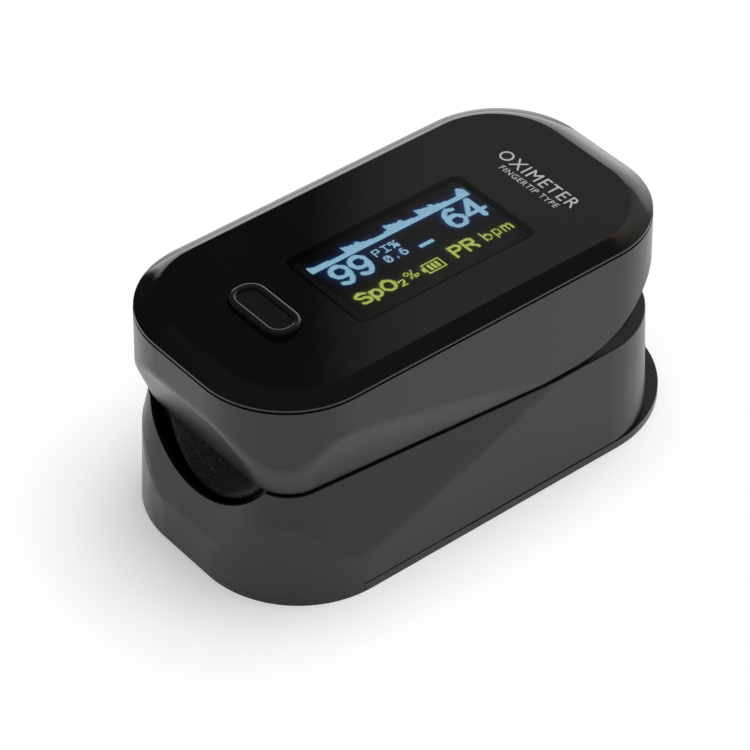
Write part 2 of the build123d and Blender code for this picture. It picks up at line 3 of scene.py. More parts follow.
import bpy
import numpy as np
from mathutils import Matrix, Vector


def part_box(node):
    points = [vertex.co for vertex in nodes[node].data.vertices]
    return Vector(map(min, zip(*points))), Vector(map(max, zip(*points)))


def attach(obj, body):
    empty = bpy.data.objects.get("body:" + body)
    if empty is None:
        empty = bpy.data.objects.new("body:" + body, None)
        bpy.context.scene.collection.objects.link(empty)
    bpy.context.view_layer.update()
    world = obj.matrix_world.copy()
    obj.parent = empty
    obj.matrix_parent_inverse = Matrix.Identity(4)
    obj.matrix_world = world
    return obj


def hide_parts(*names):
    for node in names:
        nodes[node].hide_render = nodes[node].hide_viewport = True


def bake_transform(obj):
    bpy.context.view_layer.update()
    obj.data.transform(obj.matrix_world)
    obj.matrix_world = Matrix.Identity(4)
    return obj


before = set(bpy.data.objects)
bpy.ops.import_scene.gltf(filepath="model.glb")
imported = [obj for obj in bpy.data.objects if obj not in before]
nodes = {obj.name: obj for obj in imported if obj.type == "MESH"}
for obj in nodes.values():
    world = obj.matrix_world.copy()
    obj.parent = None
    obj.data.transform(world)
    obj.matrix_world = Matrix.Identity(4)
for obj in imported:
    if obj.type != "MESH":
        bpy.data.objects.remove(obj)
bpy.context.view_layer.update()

MM = 0.001


# ---- materials ----------------------------------------------------------------------------
class Shader:
    """A node material under construction: a Principled shader plus whatever feeds it.

    Noise scales are per metre, and bump heights are in metres.
    """

    def __init__(self, name, **values):
        self.material = bpy.data.materials.new(name)
        self.material.use_nodes = True
        self.tree = self.material.node_tree
        self.main = self.tree.nodes["Principled BSDF"]
        self.coords = self.add("ShaderNodeTexCoord").outputs["Object"]
        for socket, value in values.items():
            self.main.inputs[socket.replace("_", " ")].default_value = value

    def add(self, kind, **settings):
        node = self.tree.nodes.new(kind)
        for key, value in settings.items():
            setattr(node, key, value)
        return node

    def link(self, source, target):
        self.tree.links.new(source, target)

    def noise(self, scale, detail=3.0, roughness=0.55):
        """Cloudy value from 0 to 1."""
        node = self.add("ShaderNodeTexNoise")
        node.inputs["Scale"].default_value = scale
        node.inputs["Detail"].default_value = detail
        node.inputs["Roughness"].default_value = roughness
        self.link(self.coords, node.inputs["Vector"])
        return node.outputs["Fac"]

    def ramp(self, source, low, high, at=(0.0, 1.0)):
        """Colour that goes from low to high as the source passes through the range at."""
        node = self.add("ShaderNodeValToRGB")
        ends = node.color_ramp.elements
        ends[0].position, ends[1].position = at
        ends[0].color, ends[1].color = (*low, 1.0), (*high, 1.0)
        self.link(source, node.inputs["Fac"])
        return node.outputs["Color"]

    def spread(self, source, low, high, at=(0.0, 1.0)):
        """Value that goes from low to high as the source passes through the range at."""
        node = self.add("ShaderNodeMapRange")
        node.inputs["From Min"].default_value, node.inputs["From Max"].default_value = at
        node.inputs["To Min"].default_value, node.inputs["To Max"].default_value = low, high
        self.link(source, node.inputs["Value"])
        return node.outputs["Result"]

    def bump(self, source, height):
        """Adds fine relief on top of any relief that is there already."""
        node = self.add("ShaderNodeBump")
        node.inputs["Distance"].default_value = height
        node.inputs["Strength"].default_value = 1.0
        self.link(source, node.inputs["Height"])
        before = self.main.inputs["Normal"].links
        if before:
            self.link(before[0].from_socket, node.inputs["Normal"])
        self.link(node.outputs["Normal"], self.main.inputs["Normal"])


def satin_plastic(name, base, rough):
    """Fine spark-eroded plastic with faint handling variation and a few dust specks."""
    s = Shader(name, Metallic=0.0, IOR=1.5)
    cloud = s.noise(90.0, 4.0)
    lighter = [c * 1.5 for c in base]
    body = s.ramp(cloud, base, lighter, (0.35, 0.75))
    specks = s.add("ShaderNodeTexVoronoi", feature="F1")
    specks.inputs["Scale"].default_value = 420.0
    s.link(s.coords, specks.inputs["Vector"])
    dot = s.spread(specks.outputs["Distance"], 1.0, 0.0, (0.03, 0.07))
    patchy = s.spread(s.noise(160.0, 2.0), 0.0, 0.5, (0.60, 0.72))
    amount = s.add("ShaderNodeMath", operation="MULTIPLY")
    s.link(dot, amount.inputs[0])
    s.link(patchy, amount.inputs[1])
    mix = s.add("ShaderNodeMix", data_type="RGBA")
    s.link(amount.outputs[0], mix.inputs["Factor"])
    s.link(body, mix.inputs["A"])
    mix.inputs["B"].default_value = (0.12, 0.12, 0.12, 1.0)
    s.link(mix.outputs["Result"], s.main.inputs["Base Color"])
    s.link(s.spread(cloud, rough - 0.04, rough + 0.05, (0.3, 0.7)), s.main.inputs["Roughness"])
    s.bump(s.noise(9000.0, 2.0, 0.6), 0.000006)
    return s.material


def piano_gloss(name, base, rough):
    """Polished black plastic with faint wipe marks."""
    s = Shader(name, IOR=1.5)
    wipe = s.noise(140.0, 5.0)
    s.link(s.ramp(wipe, base, [c * 1.35 for c in base], (0.35, 0.7)), s.main.inputs["Base Color"])
    s.link(s.spread(wipe, rough, rough + 0.03, (0.4, 0.8)), s.main.inputs["Roughness"])
    s.bump(s.noise(260.0, 2.0), 0.000004)
    return s.material


def clear_resin(name, tint, rough, index):
    """Tinted clear plastic."""
    s = Shader(name, IOR=index)
    s.main.inputs["Transmission Weight"].default_value = 1.0
    haze = s.noise(200.0, 3.0)
    s.link(s.ramp(haze, tint, [c * 0.96 for c in tint], (0.3, 0.8)), s.main.inputs["Base Color"])
    s.link(s.spread(haze, rough, rough * 2, (0.4, 0.9)), s.main.inputs["Roughness"])
    return s.material


def silicone(name, base):
    """Soft rubber with a sandy surface; bright specks painted into its colour stand in for glints.
    """
    s = Shader(name, IOR=1.43)
    grain_and_glints = s.noise(5800.0, 3.0, 0.7)
    # Painted highlight: at its peaks the grain lifts the colour up to twelvefold, painting glints
    # over the real sandy grain.
    s.link(s.ramp(grain_and_glints, base, [c * 12 for c in base], (0.54, 0.72)), s.main.inputs["Base Color"])
    s.link(s.spread(grain_and_glints, 0.7, 0.35, (0.4, 0.7)), s.main.inputs["Roughness"])
    s.bump(grain_and_glints, 0.00007)
    s.bump(s.noise(700.0, 2.0), 0.00003)
    return s.material


def metal(name, base, rough):
    """Bare or plated metal with fine rub marks."""
    s = Shader(name, Metallic=1.0)
    rub = s.noise(2200.0, 4.0)
    s.link(s.ramp(rub, [c * 0.82 for c in base], base, (0.3, 0.7)), s.main.inputs["Base Color"])
    s.link(s.spread(rub, rough, rough + 0.14, (0.3, 0.7)), s.main.inputs["Roughness"])
    s.bump(rub, 0.000002)
    return s.material


def plain_plastic(name, base, rough):
    """Moulded part, foam, film or ink with a slight unevenness."""
    s = Shader(name, IOR=1.5)
    cloud = s.noise(500.0, 3.0)
    s.link(s.ramp(cloud, base, [c * 1.25 for c in base], (0.3, 0.75)), s.main.inputs["Base Color"])
    s.link(s.spread(cloud, rough, rough + 0.1, (0.3, 0.7)), s.main.inputs["Roughness"])
    s.bump(s.noise(5000.0, 2.0), 0.000004)
    return s.material


def circuit_board(name):
    """Green solder mask with copper tracks showing as slightly lighter lines."""
    s = Shader(name, IOR=1.5)
    tracks = s.add("ShaderNodeTexBrick")
    tracks.inputs["Scale"].default_value = 420.0
    tracks.inputs["Mortar Size"].default_value = 0.06
    tracks.inputs["Color1"].default_value = (0.008, 0.075, 0.03, 1.0)
    tracks.inputs["Color2"].default_value = (0.007, 0.062, 0.026, 1.0)
    tracks.inputs["Mortar"].default_value = (0.02, 0.15, 0.06, 1.0)
    s.link(s.coords, tracks.inputs["Vector"])
    s.link(tracks.outputs["Color"], s.main.inputs["Base Color"])
    s.link(s.spread(s.noise(300.0), 0.25, 0.4), s.main.inputs["Roughness"])
    s.bump(tracks.outputs["Fac"], 0.00002)
    return s.material


def lit(name, colour, power):
    """Glowing display dots."""
    s = Shader(name, Roughness=0.4)
    s.main.inputs["Base Color"].default_value = (*[0.02 * c for c in colour], 1.0)
    flicker = s.noise(3000.0, 2.0)
    glow = s.ramp(flicker, [0.9 * c for c in colour], colour, (0.3, 0.7))
    s.link(glow, s.main.inputs["Emission Color"])
    s.main.inputs["Emission Strength"].default_value = power
    return s.material


def printed_can(name, band_x, direction):
    """A shrink-wrapped cell: charcoal with a copper-coloured band from band_x (mm) on."""
    s = Shader(name, Metallic=0.55, IOR=1.5)
    place = s.add("ShaderNodeSeparateXYZ")
    s.link(s.coords, place.inputs["Vector"])
    along = s.spread(place.outputs["X"], 0.0, 1.0, (band_x * MM, (band_x + 0.05 * direction) * MM))
    s.link(s.ramp(along, (0.02, 0.021, 0.024), (0.42, 0.20, 0.09)), s.main.inputs["Base Color"])
    s.link(s.spread(s.noise(700.0), 0.22, 0.32, (0.3, 0.7)), s.main.inputs["Roughness"])
    s.bump(s.noise(900.0, 2.0), 0.000004)
    return s.material


SHELL = satin_plastic("satin_shell", (0.0036, 0.0036, 0.0040), 0.30)
INNER = satin_plastic("inner_frame", (0.003, 0.003, 0.003), 0.5)
COVER = piano_gloss("piano_gloss", (0.0018, 0.0018, 0.0018), 0.02)
BUTTON = piano_gloss("button_gloss", (0.006, 0.006, 0.006), 0.09)
WINDOW = clear_resin("smoked_window", (0.42, 0.43, 0.46), 0.001, 1.30)
LENS = clear_resin("sensor_lens", (0.75, 0.62, 0.60), 0.02, 1.49)
PANEL = piano_gloss("display_glass", (0.0025, 0.0028, 0.0045), 0.02)
FOAM = plain_plastic("gasket_foam", (0.012, 0.012, 0.012), 0.85)
FLEX = plain_plastic("polyimide", (0.30, 0.11, 0.02), 0.35)
CHIP = plain_plastic("moulded_part", (0.015, 0.015, 0.016), 0.45)
STEEL = metal("bright_steel", (0.60, 0.60, 0.62), 0.22)
NICKEL = metal("nickel_plate", (0.66, 0.63, 0.58), 0.2)
CELL_POINTING_BACK = printed_can("printed_can_left", 9.5, 1)
CELL_POINTING_FORWARD = printed_can("printed_can_right", -9.5, -1)
PAD = silicone("charcoal_silicone", (0.010, 0.010, 0.011))
BOARD = circuit_board("solder_mask")
INK = plain_plastic("light_grey_ink", (0.42, 0.42, 0.43), 0.45)

MATERIAL_OF = {
    SHELL: ("upper_shell", "lower_shell", "battery_cover"),
    INNER: ("upper_jaw", "lower_cradle"),
    COVER: ("top_cover",),
    BUTTON: ("power_button",),
    WINDOW: ("display_window",),
    LENS: ("detector_window", "emitter_window"),
    PANEL: ("oled_panel",),
    FOAM: ("display_gasket", "display_spacer"),
    FLEX: ("display_flex", "flex_cable"),
    CHIP: ("mcu_chip", "board_parts", "emitter_leds", "photodiode", "buzzer", "tact_switch",
           "switch_plunger"),
    STEEL: ("board_screws", "case_screws", "hinge_pin", "torsion_spring_left",
            "torsion_spring_right"),
    NICKEL: ("battery_springs", "front_contacts", "rear_contacts"),
    CELL_POINTING_BACK: ("aaa_cell_left",),
    CELL_POINTING_FORWARD: ("aaa_cell_right",),
    PAD: ("upper_finger_pad", "lower_finger_pad"),
    BOARD: ("main_board", "emitter_board", "detector_board"),
}
for material, members in MATERIAL_OF.items():
    for member in members:
        nodes[member].data.materials.clear()
        nodes[member].data.materials.append(material)


# ---- mesh helpers -------------------------------------------------------------------------
def make_piece(name, verts, faces, material, body, smooth=False):
    """A new piece that rides a body; with no body, it is left unattached."""
    mesh = bpy.data.meshes.new(name)
    mesh.from_pydata([tuple(v) for v in verts], [], faces)
    mesh.validate()
    mesh.update()
    if smooth:
        mesh.polygons.foreach_set("use_smooth", [True] * len(mesh.polygons))
    piece = bpy.data.objects.new(name, mesh)
    bpy.context.scene.collection.objects.link(piece)
    mesh.materials.append(material)
    if body:
        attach(piece, body)
    return piece


# ---- display ------------------------------------------------------------------------------
PITCH = 0.17 * MM            # dot pitch of the panel
COLUMNS = 128
ROWS = 64
BLUE_ROWS = 48               # rows above the two-colour split
DOT = 0.86                   # lit share of the pitch
panel_low, panel_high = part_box("oled_panel")
DISPLAY_X = (panel_low.x + panel_high.x) / 2 + 0.02 * MM
DISPLAY_TOP_Y = 5.50 * MM    # upper edge of the first row
DISPLAY_Z = panel_high.z + 0.03 * MM
DOT_LIFT = 0.02 * MM         # lit dots stand this far above the glow behind them
BASE_ROW = 17                # the row the pulse trace stands on


def stroke_distance(x, y, stroke):
    """Distance from dot centres to a stroke: a segment or an elliptical arc in degrees."""
    if stroke[0] == "line":
        _, x0, y0, x1, y1 = stroke
        along = (x - x0) * (x1 - x0) + (y - y0) * (y1 - y0)
        share = np.clip(along / ((x1 - x0) ** 2 + (y1 - y0) ** 2), 0, 1)
        return np.hypot(x - x0 - share * (x1 - x0), y - y0 - share * (y1 - y0))
    _, cx, cy, rx, ry, start, end = stroke
    angles = np.radians(np.linspace(start, end, 60))
    px = cx + rx * np.cos(angles)
    py = cy - ry * np.sin(angles)
    return np.min(np.hypot(x[..., None] - px, y[..., None] - py), axis=-1)


def arc(cx, cy, rx, ry, start=0, end=360):
    """Stroke along an ellipse; angles in degrees, anticlockwise from the right."""
    return ("arc", cx, cy, rx, ry, start, end)


def line(x0, y0, x1, y1):
    return ("line", x0, y0, x1, y1)


# Glyphs on a unit cell: x runs right, y runs down, both 0 to 1.
GLYPHS = {
    "9": [arc(0.5, 0.32, 0.36, 0.28), arc(0.42, 0.36, 0.44, 0.58, -85, 8),
          line(0.18, 0.86, 0.44, 0.96)],
    "6": [arc(0.5, 0.68, 0.36, 0.28), arc(0.58, 0.62, 0.44, 0.56, 95, 185),
          line(0.56, 0.06, 0.80, 0.14)],
    "4": [line(0.66, 0.04, 0.08, 0.68), line(0.08, 0.68, 0.98, 0.68),
          line(0.70, 0.04, 0.70, 0.98)],
    "0": [arc(0.5, 0.5, 0.42, 0.46), line(0.3, 0.7, 0.7, 0.3)],
    "2": [arc(0.5, 0.3, 0.4, 0.28, -20, 170), line(0.86, 0.42, 0.1, 0.96),
          line(0.1, 0.96, 0.95, 0.96)],
    "S": [arc(0.5, 0.27, 0.38, 0.23, 30, 255), arc(0.5, 0.73, 0.38, 0.23, -150, 75)],
    "p": [line(0.12, 0.3, 0.12, 1.18), arc(0.46, 0.62, 0.36, 0.33)],
    "b": [line(0.12, 0.0, 0.12, 0.96), arc(0.46, 0.66, 0.36, 0.31)],
    "m": [line(0.06, 0.36, 0.06, 0.98), arc(0.28, 0.56, 0.22, 0.2, 0, 180),
          line(0.5, 0.56, 0.5, 0.98), arc(0.72, 0.56, 0.22, 0.2, 0, 180),
          line(0.94, 0.56, 0.94, 0.98)],
    "O": [arc(0.5, 0.5, 0.4, 0.45)],
    "P": [line(0.12, 0.03, 0.12, 0.97), line(0.12, 0.06, 0.55, 0.06),
          arc(0.55, 0.29, 0.32, 0.23, -90, 90), line(0.12, 0.52, 0.55, 0.52)],
    "R": [line(0.12, 0.03, 0.12, 0.97), line(0.12, 0.06, 0.55, 0.06),
          arc(0.55, 0.29, 0.32, 0.23, -90, 90), line(0.12, 0.52, 0.55, 0.52),
          line(0.5, 0.52, 0.88, 0.97)],
    "I": [line(0.5, 0.05, 0.5, 0.95), line(0.15, 0.05, 0.85, 0.05),
          line(0.15, 0.95, 0.85, 0.95)],
    "%": [arc(0.2, 0.24, 0.17, 0.17), arc(0.8, 0.76, 0.17, 0.17), line(0.8, 0.08, 0.2, 0.92)],
    ".": [line(0.4, 0.92, 0.6, 0.92)],
}

column_grid, row_grid = np.meshgrid(np.arange(COLUMNS) + 0.5, np.arange(ROWS) + 0.5)
lit_dots = np.zeros((ROWS, COLUMNS), bool)


def draw(glyph, column, row, width, height, weight):
    """Lights the dots within weight of a glyph's strokes; all in dots."""
    for stroke in GLYPHS[glyph]:
        if stroke[0] == "line":
            _, x0, y0, x1, y1 = stroke
            scaled = line(column + x0 * width, row + y0 * height,
                          column + x1 * width, row + y1 * height)
        else:
            _, cx, cy, rx, ry, start, end = stroke
            scaled = arc(column + cx * width, row + cy * height,
                         rx * width, ry * height, start, end)
        lit_dots[stroke_distance(column_grid, row_grid, scaled) < weight] = True


def fill(column, row, width, height):
    """Lights a block of dots."""
    lit_dots[row:row + height, column:column + width] = True


def draw_trace():
    """The filled pulse trace: a low band with a double hump at each beat."""
    beats = (29, 63, 88)
    for column in range(COLUMNS):
        height = 4.6 + 0.7 * math.sin(column * 0.21)
        for beat in beats:
            lag = column - beat
            if 0 <= lag < 22:
                height += 5.2 * math.exp(-lag / 9.0) + (1.6 if 9 < lag < 13 else 0.0)
        if column >= 119:
            height += (column - 118) * 1.35 if column < 123 else 6.0 - (column - 122) * 1.1
        if column < 4:
            height += 2.6 - column * 0.7
        top = BASE_ROW - round(height)
        lit_dots[top:BASE_ROW, column] = True


def draw_display():
    """Pulse trace, readings and their labels; places and sizes in dots."""
    draw_trace()
    upper = BASE_ROW + 2
    for glyph, column in (("9", 7), ("9", 22), ("6", 96), ("4", 111)):
        draw(glyph, column, upper, 14.5, 19.5, 1.75)
    for glyph, column in (("P", 41), ("I", 48), ("%", 54.5)):
        draw(glyph, column, BASE_ROW + 5, 5.5, 6.5, 0.62)
    for glyph, column in (("0", 43), (".", 49), ("6", 55)):
        draw(glyph, column, BASE_ROW + 14, 5.0, 6.5, 0.62)
    fill(68, BASE_ROW + 19, 11, 3)
    for glyph, column, width in (("S", 5, 9.5), ("p", 15, 8.5), ("O", 24, 10.5)):
        draw(glyph, column, BASE_ROW + 32, width, 10.5, 1.15)
    draw("2", 35, BASE_ROW + 38, 5.0, 6.0, 0.6)
    draw("%", 42.5, BASE_ROW + 34, 8.0, 8.5, 0.5)
    battery_frame = ((56, 35, 14, 1), (56, 44, 14, 1), (56, 35, 1, 10), (69, 35, 1, 10))
    battery_bars = ((54, 38, 2, 4), (59, 37, 2, 6), (62, 37, 2, 6), (65, 37, 2, 6))
    for column, row, width, height in battery_frame + battery_bars:
        fill(column, BASE_ROW + row, width, height)
    for glyph, column in (("P", 78.5), ("R", 89)):
        draw(glyph, column, BASE_ROW + 32.5, 9.5, 11.0, 1.1)
    for glyph, column, width in (("b", 104, 6.5), ("p", 111.5, 6.5), ("m", 119, 7.5)):
        draw(glyph, column, BASE_ROW + 34, width, 8.5, 0.6)


def dot_corner(column, row, z):
    """Place on the panel of a dot's upper left corner."""
    x = DISPLAY_X + (column - COLUMNS / 2) * PITCH
    return (x, DISPLAY_TOP_Y - row * PITCH, z)


def dots(name, chosen, material):
    """One small raised tile for each lit dot."""
    verts = []
    faces = []
    gap = (1 - DOT) / 2
    for row, column in zip(*np.nonzero(chosen)):
        first = len(verts)
        for across, down in ((gap, 1 - gap), (1 - gap, 1 - gap), (1 - gap, gap), (gap, gap)):
            verts.append(dot_corner(column + across, row + down, DISPLAY_Z + DOT_LIFT))
        faces.append((first, first + 1, first + 2, first + 3))
    make_piece(name, verts, faces, material, "upper")


def blurred(mask, radius):
    """Gaussian spread of the lit dots, in dots."""
    reach = int(3 * radius)
    kernel = np.exp(-0.5 * (np.arange(-reach, reach + 1) / radius) ** 2)
    kernel /= kernel.sum()
    spread = np.apply_along_axis(np.convolve, 0, mask.astype(float), kernel, "same")
    return np.apply_along_axis(np.convolve, 1, spread, kernel, "same")


def draw_halo(blue, yellow):
    """A faint coloured glow round the lit dots, held as a colour on a fine grid."""
    near_blue = blurred(blue, 1.0) * 0.5 + blurred(blue, 2.6) * 0.5
    near_yellow = blurred(yellow, 0.8) * 0.6 + blurred(yellow, 2.0) * 0.4
    verts = [dot_corner(c, r, DISPLAY_Z) for r in range(ROWS + 1) for c in range(COLUMNS + 1)]
    wide = COLUMNS + 1
    faces = [(r * wide + c + wide, r * wide + c + wide + 1, r * wide + c + 1, r * wide + c)
             for r in range(ROWS) for c in range(COLUMNS)]
    s = Shader("display_halo", Roughness=0.03, Specular_IOR_Level=0.2)
    s.main.inputs["Base Color"].default_value = (0.0028, 0.003, 0.0045, 1.0)
    glow = s.add("ShaderNodeAttribute", attribute_name="glow")
    s.link(glow.outputs["Color"], s.main.inputs["Emission Color"])
    s.main.inputs["Emission Strength"].default_value = 1.0
    piece = make_piece("display_halo", verts, faces, s.material, "upper")
    layer = piece.data.color_attributes.new("glow", "FLOAT_COLOR", "POINT")
    padded_blue = np.pad(near_blue, ((0, 1), (0, 1)), mode="edge")
    padded_yellow = np.pad(near_yellow, ((0, 1), (0, 1)), mode="edge")
    colours = np.ones((len(verts), 4), np.float32)
    # Share of the blue and of the yellow dots' glow in red, green and blue.
    tints = ((0.0, 0.14), (0.12, 0.20), (0.42, 0.0))
    for channel, (of_blue, of_yellow) in enumerate(tints):
        glow_here = padded_blue * of_blue + padded_yellow * of_yellow
        colours[:, channel] = glow_here.ravel()
    layer.data.foreach_set("color", colours.ravel())


draw_display()
blue_dots = lit_dots.copy()
blue_dots[BLUE_ROWS:] = False
yellow_dots = lit_dots & ~blue_dots
dots("display_blue", blue_dots, lit("blue_dots", (0.46, 0.80, 0.95), 1.8))
dots("display_yellow", yellow_dots, lit("yellow_dots", (0.82, 0.90, 0.18), 1.6))
draw_halo(blue_dots, yellow_dots)


# ---- finger pads --------------------------------------------------------------------------
SENSOR_X = -12.0 * MM
PAD_THICK = 0.86 * MM
LOWER_R = 10.4 * MM          # finger channel of the lower pad
LOWER_AXIS_Z = 23.8 * MM
LOWER_TOP_Z = 13.98 * MM     # the pad stays below the seam
KNEE_X = -23.0 * MM          # where the ramp's axis leaves the level axis
RAMP_FRONT = (-27.7 * MM, 8.5 * MM)
STOP_X = 5.05 * MM           # finger stop at the back of the lower pad
STOP_TOP_Z = 17.1 * MM
STOP_BEND = 1.3 * MM
UPPER_R = 12.0 * MM
UPPER_AXIS_Z = 6.9 * MM
UPPER_LOW_Z = 14.55 * MM
UPPER_X = (-26.1 * MM, 3.7 * MM)
LOWER_SETBACK = 1.25 * MM    # from the shell's outer face to the pad's front edge
UPPER_SETBACK = 1.75 * MM
LOWER_WINDOW = (2.4 * MM, 1.5 * MM)   # half length and half width of the sensor openings
UPPER_WINDOW = (2.4 * MM, 2.4 * MM)


def ramp_angle():
    """Slope of the lower pad's ramp, which is tangent to the level channel at the knee."""
    run = KNEE_X - RAMP_FRONT[0]
    drop = LOWER_AXIS_Z - RAMP_FRONT[1]
    return math.acos(LOWER_R / math.hypot(run, drop)) - math.atan2(run, drop)


RAMP = ramp_angle()


def nose_x(y, z, low, high):
    """Front face of a shell: low and high are (height, nose x, half width there, corner radius)."""
    share = (z - low[0]) / (high[0] - low[0])
    nose, half, radius = [low[i] + (high[i] - low[i]) * share for i in (1, 2, 3)]
    past = max(abs(y) - (half - radius), 0.0)
    return nose + radius - math.sqrt(max(radius * radius - past * past, 0.0))


LOWER_NOSE = [[v * MM for v in section]
              for section in ((5.5, -30.0, 15.0, 9.3), (14.2, -27.3, 12.5, 4.6))]
UPPER_NOSE = [[v * MM for v in section]
              for section in ((14.3, -27.15, 12.4, 4.5), (26.3, -31.8, 15.7, 9.0))]


def trough_z(x, depth):
    """Height of the lower channel where its wall is depth below the channel's axis."""
    soft = 0.7 * MM          # the ramp blends in over this much height each way
    fall = (KNEE_X + depth * math.tan(RAMP / 2) - x) * math.tan(RAMP)
    if fall > -soft:
        fall = fall if fall > soft else (fall + soft) ** 2 / (4 * soft)
    else:
        fall = 0.0
    return LOWER_AXIS_Z - depth - fall


def trough_reach(x):
    """Angle from the bottom at which the lower pad comes up to the seam."""
    low, high = 0.0, math.radians(75)
    for _ in range(30):
        middle = (low + high) / 2
        if trough_z(x, LOWER_R * math.cos(middle)) < LOWER_TOP_Z:
            low = middle
        else:
            high = middle
    return low


def trough_point(across, along):
    """A point of the lower pad's skin; across and along both run 0 to 1, along from the front."""
    side = 2 * across - 1
    front = RAMP_FRONT[0]
    lift = 0.0
    climb = STOP_TOP_Z - LOWER_TOP_Z + 0.5 * MM
    for _ in range(8):
        angle = side * trough_reach(front)
        y = LOWER_R * math.sin(angle)
        z = trough_z(front, LOWER_R * math.cos(angle))
        front = nose_x(y, z, *LOWER_NOSE) + LOWER_SETBACK + PAD_THICK / 2
    bend_from = STOP_X - STOP_BEND
    stretch = bend_from - front
    length = stretch + STOP_BEND * math.pi / 2 + climb
    gone = along * length
    if gone < stretch:
        x = front + gone
    elif gone < stretch + STOP_BEND * math.pi / 2:
        turn = (gone - stretch) / STOP_BEND
        x = bend_from + STOP_BEND * math.sin(turn)
        lift = STOP_BEND * (1 - math.cos(turn))
    else:
        x = STOP_X
        lift = STOP_BEND + gone - stretch - STOP_BEND * math.pi / 2
    angle = side * trough_reach(min(x, bend_from))
    return (x, LOWER_R * math.sin(angle), trough_z(x, LOWER_R * math.cos(angle)) + lift)


def arch_point(across, along):
    """A point of the upper pad's skin."""
    reach = math.acos((UPPER_LOW_Z - UPPER_AXIS_Z) / UPPER_R)
    angle = (1 - 2 * across) * reach
    y = UPPER_R * math.sin(angle)
    z = UPPER_AXIS_Z + UPPER_R * math.cos(angle)
    front = max(UPPER_X[0], nose_x(y, z, *UPPER_NOSE) + UPPER_SETBACK + PAD_THICK / 2)
    return (front + (UPPER_X[1] - front) * along, y, z)


def soft_pad(name, point, half_hole, node, body):
    """A moulded skin of even thickness with rounded edges and a window over the sensor."""
    wide, long = 48, 120
    grid = np.array([[point(i / wide, j / long) for j in range(long + 1)]
                     for i in range(wide + 1)])
    ahead = np.gradient(grid, axis=1)
    aside = np.gradient(grid, axis=0)
    normal = np.cross(ahead, aside)
    normal /= np.linalg.norm(normal, axis=2, keepdims=True)
    tangent = [v / np.linalg.norm(v, axis=2, keepdims=True) for v in (aside, ahead)]
    middle = grid - normal * PAD_THICK / 2
    centre = (grid[:-1, :-1] + grid[1:, 1:]) / 2
    past_x = np.abs(centre[..., 0] - SENSOR_X) > half_hole[0]
    keep = past_x | (np.abs(centre[..., 1]) > half_hole[1])
    verts = []
    index = {}
    faces = []

    def vertex(i, j, layer):
        """Layers 0 to 4 go round the edge, from the skin to the underside."""
        if (i, j, layer) not in index:
            outward = np.zeros(3)
            if i in (0, wide):
                outward += tangent[0][i, j] * (1 if i else -1)
            if j in (0, long):
                outward += tangent[1][i, j] * (1 if j else -1)
            size = np.linalg.norm(outward)
            if size:
                outward /= size
            turn = math.pi * layer / 4
            offset = normal[i, j] * math.cos(turn) + outward * math.sin(turn)
            index[(i, j, layer)] = len(verts)
            verts.append(middle[i, j] + offset * PAD_THICK / 2)
        return index[(i, j, layer)]

    for i in range(wide):
        for j in range(long):
            if not keep[i, j]:
                continue
            corners = ((i, j), (i, j + 1), (i + 1, j + 1), (i + 1, j))
            faces.append([vertex(*c, 0) for c in corners])
            faces.append([vertex(*c, 4) for c in reversed(corners)])
            neighbours = ((i - 1, j), (i, j + 1), (i + 1, j), (i, j - 1))
            for k, (a, b) in enumerate(neighbours):
                if 0 <= a < wide and 0 <= b < long and keep[a, b]:
                    continue
                start, end = corners[k], corners[(k + 1) % 4]
                for layer in range(4):
                    faces.append([vertex(*end, layer), vertex(*start, layer),
                                  vertex(*start, layer + 1), vertex(*end, layer + 1)])
    piece = make_piece(name, verts, faces, PAD, body, smooth=True)
    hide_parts(node)


soft_pad("lower_pad_skin", trough_point, LOWER_WINDOW, "lower_finger_pad", "base")
soft_pad("upper_pad_skin", arch_point, UPPER_WINDOW, "upper_finger_pad", "upper")


# ---- ribbon cable, spring arms and print --------------------------------------------------
def rounded_path(points, radius, steps=10):
    """A polyline in X and Z with its corners rounded, cut into short stretches."""
    path = [Vector(points[0])]
    for before, corner, after in zip(points, points[1:], points[2:]):
        corner = Vector(corner)
        back = (Vector(before) - corner).normalized() * radius
        ahead = (Vector(after) - corner).normalized() * radius
        for step in range(steps + 1):
            t = step / steps
            path.append(corner + back * (1 - t) ** 2 + ahead * t ** 2)
    path.append(Vector(points[-1]))
    dense = []
    for a, b in zip(path, path[1:]):
        count = max(1, round((b - a).length / (0.5 * MM)))
        dense += [a.lerp(b, i / count) for i in range(count)]
    return dense + [path[-1]]


def ribbon(name, points, width, thick, material):
    """A flat cable along a path in X and Z, in mm."""
    path = rounded_path([(x * MM, 0.0, z * MM) for x, z in points], 0.9 * MM)
    verts = []
    faces = []
    for i, here in enumerate(path):
        along = (path[min(i + 1, len(path) - 1)] - path[max(i - 1, 0)]).normalized()
        up = Vector((-along.z, 0.0, along.x)) * thick / 2
        for side, lift in ((-1, 1), (1, 1), (1, -1), (-1, -1)):
            verts.append(here + up * lift + Vector((0, side * width / 2, 0)))
        if i:
            a, b = 4 * (i - 1), 4 * i
            faces += [(a + k, a + (k + 1) % 4, b + (k + 1) % 4, b + k) for k in range(4)]
    last = len(verts) - 4
    faces += [(3, 2, 1, 0), (last, last + 1, last + 2, last + 3)]
    return make_piece(name, verts, faces, material, None)


# The ribbon goes up past the hinge, and bends on its way up.
RIBBON_PATH = ((-7.9, 10.6), (10.1, 10.6), (10.1, 22.72), (7.0, 22.72))
cable = ribbon("sensor_ribbon", RIBBON_PATH, 2.8 * MM, 0.16 * MM, FLEX)
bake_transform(cable)
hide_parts("flex_cable")


